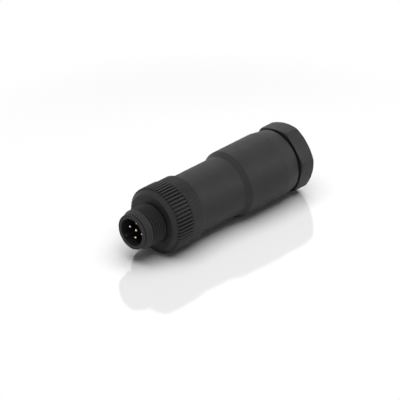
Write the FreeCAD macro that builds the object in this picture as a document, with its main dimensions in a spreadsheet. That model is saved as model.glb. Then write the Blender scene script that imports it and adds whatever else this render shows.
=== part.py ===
# A straight, field-wired M12 cable connector: five-pole male insert, free coupling ring
# with an M12 x 1 outside thread, screwed-on housing sleeve and a cable gland.
# Millimetres. X runs along the connector: the pins point to -X, the cable comes in from +X.
# X = 0 is the front face of the coupling ring, which stops against the mating socket.
# Angles are counted about +X from straight up, towards -Y.
import FreeCAD, Part
import math
import os
import Sketcher

Vector = FreeCAD.Vector
Rotation = FreeCAD.Rotation
Placement = FreeCAD.Placement
ABOUT_X = Vector(1, 0, 0)
Z_TO_X = Rotation(Vector(0, 1, 0), 90)
FULL_TURN = 360
QUARTER_TURN = 90
HOLE_COUNT = 4
KEY_TURN = 225

doc = FreeCAD.newDocument("m12_connector")
sheet = doc.addObject("Spreadsheet::Sheet", "Sizes")

DRIVING_SIZES = {
    # outside of the whole connector
    "body_radius": 10.05,
    # coupling ring: threaded nose
    "nose_length": 8.2,
    "nose_wall": 1.05,
    "pilot_drop": 0.66,
    "pilot_length": 0.5,
    "pilot_chamfer": 0.1,
    "lead_in_length": 1.9,
    "thread_radius": 6.0,
    "thread_pitch": 1.0,
    "thread_depth": 0.5,
    "thread_gap": 0.58,
    "thread_runout": 0.95,
    "relief_width": 0.65,
    "relief_depth": 0.8,
    "undercut_depth": 0.4,
    # coupling ring: ribbed grip
    "grip_inset": 0.02,
    "ring_bevel_drop": 0.48,
    "ring_face_drop": 0.69,
    "ring_bevel_length": 1.1,
    "ring_shoulder_length": 0.3,
    "grip_length": 7.0,
    "grip_edge": 0.15,
    "rib_count": 56,
    "rib_depth": 0.5,
    "rib_gap": 0.62,
    "rib_start": 1.25,
    "rib_turn": 1.9,
    "ring_wall": 1.6,
    "grip_wall": 2.63,
    # split retaining ring
    "snap_groove_depth": 0.5,
    "snap_thickness": 0.8,
    "snap_width": 1.5,
    "snap_inset": 0.9,
    "snap_split": 2.2,
    # clearances
    "running_gap": 0.08,
    "moving_gap": 0.3,
    "fit_gap": 0.05,
    # contact carrier
    "shroud_wall": 0.67,
    "core_wall": 0.67,
    "cavity_depth": 9.0,
    "floor_thickness": 1.4,
    "key_width": 1.1,
    "key_height": 0.8,
    "key_setback": 0.65,
    "flange_thickness": 2.6,
    "neck_gap": 0.55,
    "collar_gap": 0.2,
    "collar_length": 5.1,
    "collar_inset": 0.27,
    "collar_edge": 0.3,
    "knurl_count": 100,
    "knurl_depth": 0.18,
    "knurl_gap": 0.34,
    "spigot_wall": 1.6,
    "spigot_length": 6.0,
    "seal_groove_start": 0.35,
    "seal_section": 1.2,
    # insulating insert and contacts
    "insert_tail": 3.5,
    "pocket_end_wall": 1.0,
    "post_radius": 2.5,
    "post_length": 7.5,
    "pin_circle": 2.5,
    "pin_radius": 0.5,
    "pin_tip": 0.35,
    "shank_step": 0.15,
    "pin_setback": 1.6,
    "pin_turn": 5.8,
    "terminal_width": 2.6,
    "terminal_floor": 0.05,
    "terminal_cover": 0.75,
    "terminal_length": 7.0,
    "centre_terminal_radius": 1.6,
    "centre_terminal_length": 6.0,
    "wire_hole_radius": 0.75,
    "wire_hole_depth": 5.0,
    "screw_radius": 0.8,
    "screw_length": 1.3,
    "screw_slot_width": 0.35,
    "screw_slot_depth": 0.4,
    # housing sleeve
    "barrel_step": 1.05,
    "barrel_length": 16.7,
    "cone_length": 1.8,
    "rear_length": 14.6,
    "taper_length": 4.8,
    "end_drop": 0.65,
    "end_edge": 0.25,
    "land_wall": 0.7,
    "land_margin": 0.5,
    "land_step": 0.32,
    "chamber_step": 0.48,
    "seat_wall": 1.5,
    "seat_opening": 5.6,
    "end_wall": 1.3,
    "gland_depth": 12.9,
    # cable gland
    "cage_wall": 0.9,
    "cage_base": 1.8,
    "finger_length": 4.2,
    "finger_count": 8,
    "finger_slot": 1.0,
    "seal_bore": 3.75,
    "washer_thickness": 0.8,
    "nut_gap": 0.55,
    "nut_length": 4.9,
    "nut_side_inset": 0.38,
    "nut_curve": 15.07,
    "nut_turn": 18.1,
    "nut_bevel": 0.5,
    "nut_face_inset": 0.07,
    "nut_corner_room": 0.93,
    "nut_bore": 4.6,
    "nut_mouth": 0.7,
}
for row, (alias, value) in enumerate(DRIVING_SIZES.items(), start=1):
    sheet.set(f"A{row}", alias)
    sheet.set(f"B{row}", str(value))
    sheet.setAlias(f"B{row}", alias)
doc.recompute()


def size(*names):
    """An expression that adds up named sizes; a name with a leading minus is taken away."""
    terms = []
    for name in names:
        sign = "-" if name.startswith("-") else "+"
        terms.append(f"{sign} Sizes.{name.lstrip('-')}")
    return f"({' '.join(terms).removeprefix('+ ')})"


# Places along X, each worked out from the lengths before it.
NOSE_FRONT = size("-nose_length")
PILOT_END = f"{NOSE_FRONT} + Sizes.pilot_length"
THREAD_START = f"{PILOT_END} + Sizes.lead_in_length"
RING_FACE = "0"
RING_REAR = size("grip_length")
SNAP_GROOVE_REAR = f"{RING_REAR} - Sizes.snap_inset"
SNAP_GROOVE_FRONT = f"{SNAP_GROOVE_REAR} - Sizes.snap_thickness - Sizes.collar_gap"
FLANGE_FRONT = f"{size('ring_wall')} + Sizes.collar_gap"
FLANGE_REAR = f"{FLANGE_FRONT} + Sizes.flange_thickness"
CAVITY_FLOOR = f"{NOSE_FRONT} + Sizes.cavity_depth"
CORE_FRONT = f"{CAVITY_FLOOR} + Sizes.floor_thickness"
COLLAR_FRONT = f"{RING_REAR} + Sizes.collar_gap"
COLLAR_REAR = f"{COLLAR_FRONT} + Sizes.collar_length"
SEAL_GROOVE_FRONT = f"{COLLAR_REAR} + Sizes.seal_groove_start"
SEAL_GROOVE_REAR = f"{SEAL_GROOVE_FRONT} + Sizes.seal_section + 2 * Sizes.fit_gap"
SPIGOT_END = f"{COLLAR_REAR} + Sizes.spigot_length"
INSERT_END = f"{SPIGOT_END} + Sizes.insert_tail"
POST_END = f"{INSERT_END} + Sizes.post_length"
TERMINAL_REAR = f"{INSERT_END} - Sizes.pocket_end_wall"
TERMINAL_FRONT = f"{TERMINAL_REAR} - Sizes.terminal_length"
BARREL_END = f"{COLLAR_REAR} + Sizes.barrel_length"
CONE_END = f"{BARREL_END} + Sizes.cone_length"
REAR_END = f"{CONE_END} + Sizes.rear_length"
HOUSING_END = f"{REAR_END} + Sizes.taper_length"
SEAT_REAR = f"{HOUSING_END} - Sizes.gland_depth"
SEAT_FRONT = f"{SEAT_REAR} - Sizes.seat_wall"
CAGE_END = f"{SEAT_REAR} + Sizes.cage_base + Sizes.finger_length"
WASHER_END = f"{CAGE_END} + Sizes.washer_thickness"
NUT_FRONT = f"{HOUSING_END} + Sizes.nut_gap"
NUT_REAR = f"{NUT_FRONT} + Sizes.nut_length"

# Radii of the outside, each a step in from the widest one.
GRIP_RADIUS = size("body_radius", "-grip_inset")
BEVEL_RADIUS = f"({GRIP_RADIUS} - Sizes.ring_bevel_drop)"
FACE_RADIUS = f"({BEVEL_RADIUS} - Sizes.ring_face_drop)"
COLLAR_RADIUS = size("body_radius", "-collar_inset")
BARREL_RADIUS = size("body_radius", "-barrel_step")
END_RADIUS = size("body_radius", "-end_drop")
NUT_SIDE = size("body_radius", "-nut_side_inset")
NUT_FACE_RADIUS = f"({NUT_SIDE} - Sizes.nut_face_inset)"
NUT_BLANK_RADIUS = f"({NUT_SIDE} + Sizes.nut_corner_room)"

# Radii of the nose, worked inwards from the standard thread.
PILOT_RADIUS = size("thread_radius", "-pilot_drop")
RELIEF_RADIUS = size("thread_radius", "relief_width")
UNDERCUT_RADIUS = size("thread_radius", "-undercut_depth")
RING_BORE = size("thread_radius", "-nose_wall")
SHROUD_RADIUS = f"({RING_BORE} - Sizes.running_gap)"
SHROUD_BORE = f"({SHROUD_RADIUS} - Sizes.shroud_wall)"
KEY_RADIUS = f"({SHROUD_BORE} - Sizes.key_height)"
CORE_BORE = f"({SHROUD_RADIUS} - Sizes.core_wall)"
CORE_RADIUS = f"({CORE_BORE} - Sizes.fit_gap)"

# Radii inside the grip, worked inwards from its wall.
COUNTERBORE_RADIUS = f"({GRIP_RADIUS} - Sizes.grip_wall)"
FLANGE_RADIUS = f"({COUNTERBORE_RADIUS} - Sizes.moving_gap)"
SNAP_GROOVE_RADIUS = f"({COUNTERBORE_RADIUS} + Sizes.snap_groove_depth)"
SNAP_OUTER = f"({SNAP_GROOVE_RADIUS} - Sizes.fit_gap)"
SNAP_INNER = f"({SNAP_OUTER} - Sizes.snap_width)"
NECK_RADIUS = f"({SNAP_INNER} - Sizes.neck_gap)"

# Radii inside the housing sleeve, worked inwards from its wall.
LAND_RADIUS = f"({BARREL_RADIUS} - Sizes.land_wall)"
LAND_END = f"{SEAL_GROOVE_REAR} + Sizes.land_margin"
SEAL_GROOVE_RADIUS = f"({LAND_RADIUS} - 2 * Sizes.fit_gap - Sizes.seal_section)"
SEAL_RING_MIDDLE = f"({SEAL_GROOVE_RADIUS} + Sizes.fit_gap + Sizes.seal_section / 2)"
HOUSING_THREAD_RADIUS = f"({LAND_RADIUS} - Sizes.land_step)"
SPIGOT_RADIUS = f"({HOUSING_THREAD_RADIUS} - Sizes.running_gap)"
CHAMBER_RADIUS = f"({HOUSING_THREAD_RADIUS} - Sizes.chamber_step)"
INSERT_BORE = f"({SPIGOT_RADIUS} - Sizes.spigot_wall)"
INSERT_RADIUS = f"({INSERT_BORE} - Sizes.fit_gap)"
GLAND_BORE = f"({END_RADIUS} - Sizes.end_wall)"
GLAND_THREAD_RADIUS = f"({GLAND_BORE} - Sizes.running_gap)"
CAGE_OUTER = f"({GLAND_BORE} - Sizes.moving_gap)"
CAGE_INNER = f"({CAGE_OUTER} - Sizes.cage_wall)"
SEAL_OUTER = f"({CAGE_INNER} - Sizes.fit_gap)"
WASHER_BORE = size("nut_bore", "moving_gap")

# Sizes of the contacts.
SHANK_RADIUS = size("pin_radius", "shank_step")
SHANK_HOLE = f"({SHANK_RADIUS} + Sizes.fit_gap)"
TERMINAL_INNER = f"(Sizes.pin_circle - {SHANK_RADIUS} - Sizes.terminal_floor)"
SCREW_HOLE = size("screw_radius", "fit_gap")
TERMINAL_OUTER = f"({INSERT_RADIUS} - Sizes.terminal_cover)"
WIRE_HEIGHT = f"(({TERMINAL_OUTER} + {TERMINAL_INNER}) / 2)"

sub_parts = []


def keep(label, made):
    """Name a finished sub-part and list it for export."""
    made.Label = label
    sub_parts.append(made)
    return made


def turn_about_axis(made, angle):
    """Turn a finished piece about the connector's axis by an angle given as an expression."""
    made.Placement = Placement(Vector(0, 0, 0), Rotation(ABOUT_X, 1))
    made.setExpression("Placement.Rotation.Angle", angle)


def origin_plane(body, role):
    return [item for item in body.Origin.OriginFeatures if item.Role == role][0]


def start_sketch(body, name, role, distance="0", turn=0):
    """A sketch on an origin plane, moved along its normal and turned about it by degrees."""
    sketch = body.newObject("Sketcher::SketchObject", name)
    sketch.AttachmentSupport = [(origin_plane(body, role), "")]
    sketch.MapMode = "FlatFace"
    sketch.AttachmentOffset = Placement(Vector(0, 0, 0), Rotation(Vector(0, 0, 1), turn))
    sketch.setExpression("AttachmentOffset.Base.z", distance)
    return sketch


def draw_outline(sketch, corners):
    """Close an outline through corners, whose two distances are expressions."""
    count = len(corners)
    start = []
    for index in range(count):
        turn = 2 * math.pi * index / count
        start.append(Vector(10 * math.cos(turn), 20 + 10 * math.sin(turn), 0))
    for index in range(count):
        sketch.addGeometry(Part.LineSegment(start[index], start[(index + 1) % count]), False)
    for index in range(count):
        sketch.addConstraint(Sketcher.Constraint("Coincident", index, 2, (index + 1) % count, 1))
    for index, (across, up) in enumerate(corners):
        place = start[index]
        number = sketch.addConstraint(Sketcher.Constraint("DistanceX", -1, 1, index, 1, place.x))
        sketch.setExpression(f"Constraints[{number}]", across)
        number = sketch.addConstraint(Sketcher.Constraint("DistanceY", -1, 1, index, 1, place.y))
        sketch.setExpression(f"Constraints[{number}]", up)
    doc.recompute()


def turned_body(name, corners):
    """A body turned about the X axis from (x, radius) corners."""
    body = doc.addObject("PartDesign::Body", name)
    sketch = start_sketch(body, name + "_profile", "XY_Plane")
    draw_outline(sketch, corners)
    turned = body.newObject("PartDesign::Revolution", name + "_turned")
    turned.Profile = sketch
    turned.ReferenceAxis = (sketch, ["H_Axis"])
    turned.Angle = FULL_TURN
    doc.recompute()
    return body


def axis_of(body):
    """The X axis, as the first sketch of a turned body holds it."""
    sketches = [item for item in body.Group if item.TypeId == "Sketcher::SketchObject"]
    return (sketches[0], ["H_Axis"])


def cut_pocket(body, name, sketch, depth, towards_rear=False):
    pocket = body.newObject("PartDesign::Pocket", name)
    pocket.Profile = sketch
    pocket.Type = 0
    pocket.setExpression("Length", depth)
    pocket.Reversed = towards_rear
    doc.recompute()
    return pocket


def repeat_round(body, name, feature, count):
    """Repeat a cut evenly round the connector's axis."""
    pattern = body.newObject("PartDesign::PolarPattern", name)
    pattern.Originals = [feature]
    pattern.Axis = axis_of(body)
    pattern.Angle = FULL_TURN
    pattern.setExpression("Occurrences", count)
    body.Tip = pattern
    doc.recompute()
    return pattern


def cut_grooves(body, name, rear, length, radius, gap, depth, count):
    """Cut straight V grooves from the rear end of a grip, evenly spaced round it."""
    sketch = start_sketch(body, name + "_section", "YZ_Plane", rear)
    mouth = f"{radius} + {depth}"
    draw_outline(sketch, [
        (f"-{gap}", mouth),
        (gap, mouth),
        ("0", f"{radius} - {depth}"),
    ])
    pocket = cut_pocket(body, name + "_cut", sketch, length)
    repeat_round(body, name, pocket, count)


def round_hole(body, name, rear, radius, height, depth):
    """Cut a round hole towards the front from a face at rear, at a height over the axis."""
    sketch = start_sketch(body, name + "_section", "YZ_Plane", rear)
    sketch.addGeometry(Part.Circle(Vector(0, 1, 0), Vector(0, 0, 1), 1), False)
    number = sketch.addConstraint(Sketcher.Constraint("Radius", 0, 1))
    sketch.setExpression(f"Constraints[{number}]", radius)
    sketch.addConstraint(Sketcher.Constraint("DistanceX", -1, 1, 0, 3, 0))
    number = sketch.addConstraint(Sketcher.Constraint("DistanceY", -1, 1, 0, 3, 1))
    sketch.setExpression(f"Constraints[{number}]", height)
    doc.recompute()
    return cut_pocket(body, name, sketch, depth)


def rod(name, front, length, radius, height="0"):
    """A round rod along X that starts at front, at a height over the axis."""
    made = doc.addObject("Part::Cylinder", name)
    made.Placement = Placement(Vector(0, 0, 0), Z_TO_X)
    made.setExpression("Placement.Base.x", front)
    made.setExpression("Placement.Base.z", height)
    made.setExpression("Radius", radius)
    made.setExpression("Height", length)
    return made


def block(name, front, length, width, low, high):
    """A block along X, centred across Y, between two heights."""
    made = doc.addObject("Part::Box", name)
    made.setExpression("Length", length)
    made.setExpression("Width", width)
    made.setExpression("Height", f"{high} - ({low})")
    made.setExpression("Placement.Base.x", front)
    made.setExpression("Placement.Base.y", f"-({width}) / 2")
    made.setExpression("Placement.Base.z", low)
    return made


def upright_rod(name, x, radius, low, length):
    """A round rod along Z that stands on a height over the axis."""
    made = doc.addObject("Part::Cylinder", name)
    made.setExpression("Radius", radius)
    made.setExpression("Height", length)
    made.setExpression("Placement.Base.x", x)
    made.setExpression("Placement.Base.z", low)
    return made


def fuse(name, *pieces):
    made = doc.addObject("Part::MultiFuse", name)
    made.Shapes = list(pieces)
    return made


def cut(name, base, tool):
    made = doc.addObject("Part::Cut", name)
    made.Base = base
    made.Tool = tool
    return made


# Coupling ring: threaded nose and ribbed grip in one moulding, free to spin on the carrier.
# The M12 x 1 thread is cut as V grooves one pitch apart, between crests at its outside diameter.
# It ends at the ring's front face, over an undercut that opens into the relief slot.
ring = turned_body("ring", [
    (NOSE_FRONT, RING_BORE),
    (NOSE_FRONT, f"{PILOT_RADIUS} - Sizes.pilot_chamfer"),
    (f"{NOSE_FRONT} + Sizes.pilot_chamfer", PILOT_RADIUS),
    (PILOT_END, PILOT_RADIUS),
    (THREAD_START, size("thread_radius")),
    (RING_FACE, size("thread_radius")),
    (RING_FACE, UNDERCUT_RADIUS),
    (size("relief_depth"), UNDERCUT_RADIUS),
    (size("relief_depth"), RELIEF_RADIUS),
    (RING_FACE, RELIEF_RADIUS),
    (RING_FACE, FACE_RADIUS),
    (size("ring_bevel_length"), BEVEL_RADIUS),
    (size("ring_bevel_length", "ring_shoulder_length"), GRIP_RADIUS),
    (f"{RING_REAR} - Sizes.grip_edge", GRIP_RADIUS),
    (RING_REAR, f"{GRIP_RADIUS} - Sizes.grip_edge"),
    (RING_REAR, COUNTERBORE_RADIUS),
    (SNAP_GROOVE_REAR, COUNTERBORE_RADIUS),
    (SNAP_GROOVE_REAR, SNAP_GROOVE_RADIUS),
    (SNAP_GROOVE_FRONT, SNAP_GROOVE_RADIUS),
    (SNAP_GROOVE_FRONT, COUNTERBORE_RADIUS),
    (size("ring_wall"), COUNTERBORE_RADIUS),
    (size("ring_wall"), RING_BORE),
])
thread_sketch = start_sketch(ring, "thread_section", "XY_Plane")
draw_outline(thread_sketch, [
    ("-Sizes.thread_runout - Sizes.thread_gap", size("thread_radius", "thread_depth")),
    ("-Sizes.thread_runout + Sizes.thread_gap", size("thread_radius", "thread_depth")),
    ("-Sizes.thread_runout", size("thread_radius", "-thread_depth")),
])
thread_groove = ring.newObject("PartDesign::Groove", "thread_groove")
thread_groove.Profile = thread_sketch
thread_groove.ReferenceAxis = (thread_sketch, ["H_Axis"])
thread_groove.Angle = FULL_TURN
doc.recompute()
thread = ring.newObject("PartDesign::LinearPattern", "thread")
thread.Originals = [thread_groove]
thread.Direction = (thread_sketch, ["H_Axis"])
thread.Reversed = True
THREAD_TURNS = f"floor({size('nose_length', '-pilot_length', '-lead_in_length')} / Sizes.thread_pitch)"
thread.setExpression("Occurrences", THREAD_TURNS)
thread.setExpression("Length", f"Sizes.thread_pitch * ({THREAD_TURNS} - 1)")
ring.Tip = thread
doc.recompute()
cut_grooves(ring, "ring_ribs", RING_REAR, f"{RING_REAR} - Sizes.rib_start", GRIP_RADIUS,
            size("rib_gap"), size("rib_depth"), size("rib_count"))
turn_about_axis(ring, size("rib_turn"))
keep("coupling_ring", ring)

# Split spring ring: snapped into the coupling ring behind the carrier's flange.
snap = turned_body("snap", [
    (f"{SNAP_GROOVE_REAR} - Sizes.snap_thickness", SNAP_INNER),
    (SNAP_GROOVE_REAR, SNAP_INNER),
    (SNAP_GROOVE_REAR, SNAP_OUTER),
    (f"{SNAP_GROOVE_REAR} - Sizes.snap_thickness", SNAP_OUTER),
])
split = start_sketch(snap, "snap_split_section", "YZ_Plane", SNAP_GROOVE_REAR)
draw_outline(split, [
    ("-Sizes.snap_split / 2", "0"),
    ("Sizes.snap_split / 2", "0"),
    ("Sizes.snap_split / 2", GRIP_RADIUS),
    ("-Sizes.snap_split / 2", GRIP_RADIUS),
])
snap.Tip = cut_pocket(snap, "snap_split_cut", split, size("snap_thickness"))
keep("snap_ring", snap)

# Contact carrier: shroud with its coding key, flange that holds the coupling ring,
# finely knurled collar, and a threaded spigot for the housing sleeve.
carrier = turned_body("carrier", [
    (CAVITY_FLOOR, "0"),
    (CAVITY_FLOOR, SHROUD_BORE),
    (NOSE_FRONT, SHROUD_BORE),
    (NOSE_FRONT, SHROUD_RADIUS),
    (FLANGE_FRONT, SHROUD_RADIUS),
    (FLANGE_FRONT, FLANGE_RADIUS),
    (FLANGE_REAR, FLANGE_RADIUS),
    (FLANGE_REAR, NECK_RADIUS),
    (COLLAR_FRONT, NECK_RADIUS),
    (COLLAR_FRONT, f"{COLLAR_RADIUS} - Sizes.collar_edge"),
    (f"{COLLAR_FRONT} + Sizes.collar_edge", COLLAR_RADIUS),
    (f"{COLLAR_REAR} - Sizes.collar_edge", COLLAR_RADIUS),
    (COLLAR_REAR, f"{COLLAR_RADIUS} - Sizes.collar_edge"),
    (COLLAR_REAR, SPIGOT_RADIUS),
    (SEAL_GROOVE_FRONT, SPIGOT_RADIUS),
    (SEAL_GROOVE_FRONT, SEAL_GROOVE_RADIUS),
    (SEAL_GROOVE_REAR, SEAL_GROOVE_RADIUS),
    (SEAL_GROOVE_REAR, SPIGOT_RADIUS),
    (SPIGOT_END, SPIGOT_RADIUS),
    (SPIGOT_END, INSERT_BORE),
    (COLLAR_REAR, INSERT_BORE),
    (COLLAR_REAR, CORE_BORE),
    (CORE_FRONT, CORE_BORE),
    (CORE_FRONT, "0"),
])
cut_grooves(carrier, "collar_knurl", COLLAR_REAR, size("collar_length"), COLLAR_RADIUS,
            size("knurl_gap"), size("knurl_depth"), size("knurl_count"))
pin_hole = round_hole(carrier, "carrier_pin_hole", CORE_FRONT, SHANK_HOLE, size("pin_circle"),
                      size("floor_thickness"))
repeat_round(carrier, "carrier_pin_holes", pin_hole, str(HOLE_COUNT))
carrier.Tip = round_hole(carrier, "carrier_centre_hole", CORE_FRONT, SHANK_HOLE, "0",
                         size("floor_thickness"))
key_sketch = start_sketch(carrier, "key_section", "YZ_Plane", CAVITY_FLOOR, KEY_TURN)
draw_outline(key_sketch, [
    ("-Sizes.key_width / 2", KEY_RADIUS),
    ("Sizes.key_width / 2", KEY_RADIUS),
    ("Sizes.key_width / 2", f"({SHROUD_BORE} + {SHROUD_RADIUS}) / 2"),
    ("-Sizes.key_width / 2", f"({SHROUD_BORE} + {SHROUD_RADIUS}) / 2"),
])
key_rib = carrier.newObject("PartDesign::Pad", "key_rib")
key_rib.Profile = key_sketch
key_rib.setExpression("Length", size("cavity_depth", "-key_setback"))
key_rib.Reversed = True
carrier.Tip = key_rib
doc.recompute()
turn_about_axis(carrier, size("pin_turn"))
keep("contact_carrier", carrier)

# Rubber ring that seals the housing sleeve on the carrier's spigot.
housing_seal = doc.addObject("Part::Torus", "seal_ring")
housing_seal.Placement = Placement(Vector(0, 0, 0), Z_TO_X)
housing_seal.setExpression("Placement.Base.x",
                           f"{SEAL_GROOVE_FRONT} + Sizes.fit_gap + Sizes.seal_section / 2")
housing_seal.setExpression("Radius1", SEAL_RING_MIDDLE)
housing_seal.setExpression("Radius2", "Sizes.seal_section / 2")
keep("housing_seal", housing_seal)

# Insulating insert: fills the carrier behind its floor and holds the five contacts.
# Four open pockets take the outer terminals, a round post the middle one.
insert = turned_body("insert", [
    (CORE_FRONT, "0"),
    (CORE_FRONT, CORE_RADIUS),
    (COLLAR_REAR, CORE_RADIUS),
    (COLLAR_REAR, INSERT_RADIUS),
    (INSERT_END, INSERT_RADIUS),
    (INSERT_END, size("post_radius")),
    (POST_END, size("post_radius")),
    (POST_END, "0"),
])
POCKET_HALF_WIDTH = "Sizes.terminal_width / 2 + Sizes.fit_gap"
pocket_sketch = start_sketch(insert, "terminal_pocket_section", "YZ_Plane", TERMINAL_REAR)
draw_outline(pocket_sketch, [
    (f"-({POCKET_HALF_WIDTH})", f"{TERMINAL_INNER} - Sizes.fit_gap"),
    (POCKET_HALF_WIDTH, f"{TERMINAL_INNER} - Sizes.fit_gap"),
    (POCKET_HALF_WIDTH, SPIGOT_RADIUS),
    (f"-({POCKET_HALF_WIDTH})", SPIGOT_RADIUS),
])
pocket = cut_pocket(insert, "terminal_pocket", pocket_sketch, size("terminal_length"))
repeat_round(insert, "terminal_pockets", pocket, str(HOLE_COUNT))
pin_way = round_hole(insert, "insert_pin_hole", TERMINAL_FRONT, SHANK_HOLE, size("pin_circle"),
                     f"{TERMINAL_FRONT} - ({CORE_FRONT})")
repeat_round(insert, "insert_pin_holes", pin_way, str(HOLE_COUNT))
wire_way = round_hole(insert, "insert_wire_hole", INSERT_END, size("wire_hole_radius", "fit_gap"),
                      WIRE_HEIGHT, size("pocket_end_wall"))
repeat_round(insert, "insert_wire_holes", wire_way, str(HOLE_COUNT))
insert.Tip = round_hole(insert, "insert_centre_hole", POST_END, SHANK_HOLE, "0",
                        f"{POST_END} - ({CORE_FRONT})")
insert.Tip = round_hole(insert, "insert_centre_seat", POST_END,
                        size("centre_terminal_radius", "fit_gap"), "0",
                        size("centre_terminal_length"))
CENTRE_SCREW_PLACE = f"{POST_END} - Sizes.wire_hole_depth / 2"
screw_way = start_sketch(insert, "centre_screw_section", "XY_Plane")
screw_way.addGeometry(Part.Circle(Vector(1, 0, 0), Vector(0, 0, 1), 1), False)
number = screw_way.addConstraint(Sketcher.Constraint("Radius", 0, 1))
screw_way.setExpression(f"Constraints[{number}]", SCREW_HOLE)
screw_way.addConstraint(Sketcher.Constraint("DistanceY", -1, 1, 0, 3, 0))
number = screw_way.addConstraint(Sketcher.Constraint("DistanceX", -1, 1, 0, 3, 1))
screw_way.setExpression(f"Constraints[{number}]", CENTRE_SCREW_PLACE)
doc.recompute()
insert.Tip = cut_pocket(insert, "centre_screw_hole", screw_way, INSERT_RADIUS, True)
turn_about_axis(insert, size("pin_turn"))
keep("contact_insert", insert)


# Contacts: turned pins with a chamfered tip, each in one piece with its wire clamp.
TIP_FRONT = f"{NOSE_FRONT} + Sizes.pin_setback"
SHAFT_FRONT = f"{TIP_FRONT} + Sizes.pin_tip"
CENTRE_TERMINAL_FRONT = f"{POST_END} - Sizes.centre_terminal_length"


def pin_shaft(name, height, end):
    """The round pin with its chamfered tip, and its thicker shank up to where its clamp starts."""
    tip = doc.addObject("Part::Cone", name + "_tip")
    tip.Placement = Placement(Vector(0, 0, 0), Z_TO_X)
    tip.setExpression("Placement.Base.x", TIP_FRONT)
    tip.setExpression("Placement.Base.z", height)
    tip.setExpression("Radius1", "Sizes.pin_radius / 2")
    tip.setExpression("Radius2", size("pin_radius"))
    tip.setExpression("Height", size("pin_tip"))
    shaft = rod(name + "_shaft", SHAFT_FRONT, f"{CAVITY_FLOOR} - ({SHAFT_FRONT})", size("pin_radius"),
                height)
    shank = rod(name + "_shank", CAVITY_FLOOR, f"{end} - ({CAVITY_FLOOR})", SHANK_RADIUS, height)
    return [tip, shaft, shank]


def finish_contact(name, solids, screw_place, wire_height, rear, screw_base):
    """Fuse a contact and cut its wire hole and its screw hole."""
    wire_hole = rod(name + "_wire_hole", f"{rear} - Sizes.wire_hole_depth", size("wire_hole_depth"),
                    size("wire_hole_radius"), wire_height)
    screw_hole = upright_rod(name + "_screw_hole", screw_place, SCREW_HOLE,
                             screw_base, TERMINAL_OUTER)
    return cut(name, fuse(name + "_solid", *solids), fuse(name + "_holes", wire_hole, screw_hole))


def clamp_screw(name, place, wire_height):
    """A slotted grub screw that just reaches into the wire hole."""
    low = f"{wire_height} + Sizes.wire_hole_radius - 2 * Sizes.fit_gap"
    shank = upright_rod(name + "_shank", place, size("screw_radius"), low, size("screw_length"))
    slot = block(name + "_slot", f"{place} - 2 * Sizes.screw_radius", "4 * Sizes.screw_radius",
                 size("screw_slot_width"), f"{low} + Sizes.screw_length - Sizes.screw_slot_depth",
                 f"{low} + 2 * Sizes.screw_length")
    return cut(name, shank, slot)


OUTER_SCREW_PLACE = f"{TERMINAL_REAR} - Sizes.wire_hole_depth / 2"
for number in range(HOLE_COUNT):
    name = f"contact_{number + 1}"
    turn = f"Sizes.pin_turn + {QUARTER_TURN * number}"
    clamp = block(name + "_clamp", f"{TERMINAL_FRONT} + Sizes.fit_gap",
                  "Sizes.terminal_length - 2 * Sizes.fit_gap", size("terminal_width"),
                  TERMINAL_INNER, TERMINAL_OUTER)
    solids = pin_shaft(name, size("pin_circle"), f"{TERMINAL_FRONT} + 2 * Sizes.fit_gap") + [clamp]
    contact = finish_contact(name, solids, OUTER_SCREW_PLACE, WIRE_HEIGHT,
                             TERMINAL_REAR, WIRE_HEIGHT)
    turn_about_axis(contact, turn)
    keep(f"pin_{number + 1}", contact)
    screw = clamp_screw(name + "_screw", OUTER_SCREW_PLACE, WIRE_HEIGHT)
    turn_about_axis(screw, turn)
    keep(f"clamp_screw_{number + 1}", screw)

centre_clamp = rod("centre_clamp", f"{CENTRE_TERMINAL_FRONT} + Sizes.fit_gap",
                   "Sizes.centre_terminal_length - Sizes.fit_gap", size("centre_terminal_radius"))
centre_solids = pin_shaft("centre", "0", f"{CENTRE_TERMINAL_FRONT} + 2 * Sizes.fit_gap")
centre_contact = finish_contact("centre", centre_solids + [centre_clamp], CENTRE_SCREW_PLACE, "0",
                                POST_END, "0")
turn_about_axis(centre_contact, size("pin_turn"))
keep("pin_5", centre_contact)
centre_screw = clamp_screw("centre_screw", CENTRE_SCREW_PLACE, "0")
turn_about_axis(centre_screw, size("pin_turn"))
keep("clamp_screw_5", centre_screw)

# Housing sleeve: screws onto the carrier's spigot and holds the gland in its wide rear part.
housing = turned_body("housing", [
    (COLLAR_REAR, LAND_RADIUS),
    (COLLAR_REAR, f"{BARREL_RADIUS} - Sizes.end_edge"),
    (f"{COLLAR_REAR} + Sizes.end_edge", BARREL_RADIUS),
    (BARREL_END, BARREL_RADIUS),
    (CONE_END, size("body_radius")),
    (REAR_END, size("body_radius")),
    (f"{HOUSING_END} - Sizes.end_edge", END_RADIUS),
    (HOUSING_END, f"{END_RADIUS} - Sizes.end_edge"),
    (HOUSING_END, GLAND_BORE),
    (SEAT_REAR, GLAND_BORE),
    (SEAT_REAR, size("seat_opening")),
    (SEAT_FRONT, size("seat_opening")),
    (SEAT_FRONT, CHAMBER_RADIUS),
    (f"{SPIGOT_END} + Sizes.moving_gap", CHAMBER_RADIUS),
    (f"{SPIGOT_END} + Sizes.moving_gap", HOUSING_THREAD_RADIUS),
    (LAND_END, HOUSING_THREAD_RADIUS),
    (LAND_END, LAND_RADIUS),
])
keep("housing_sleeve", housing)

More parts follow.
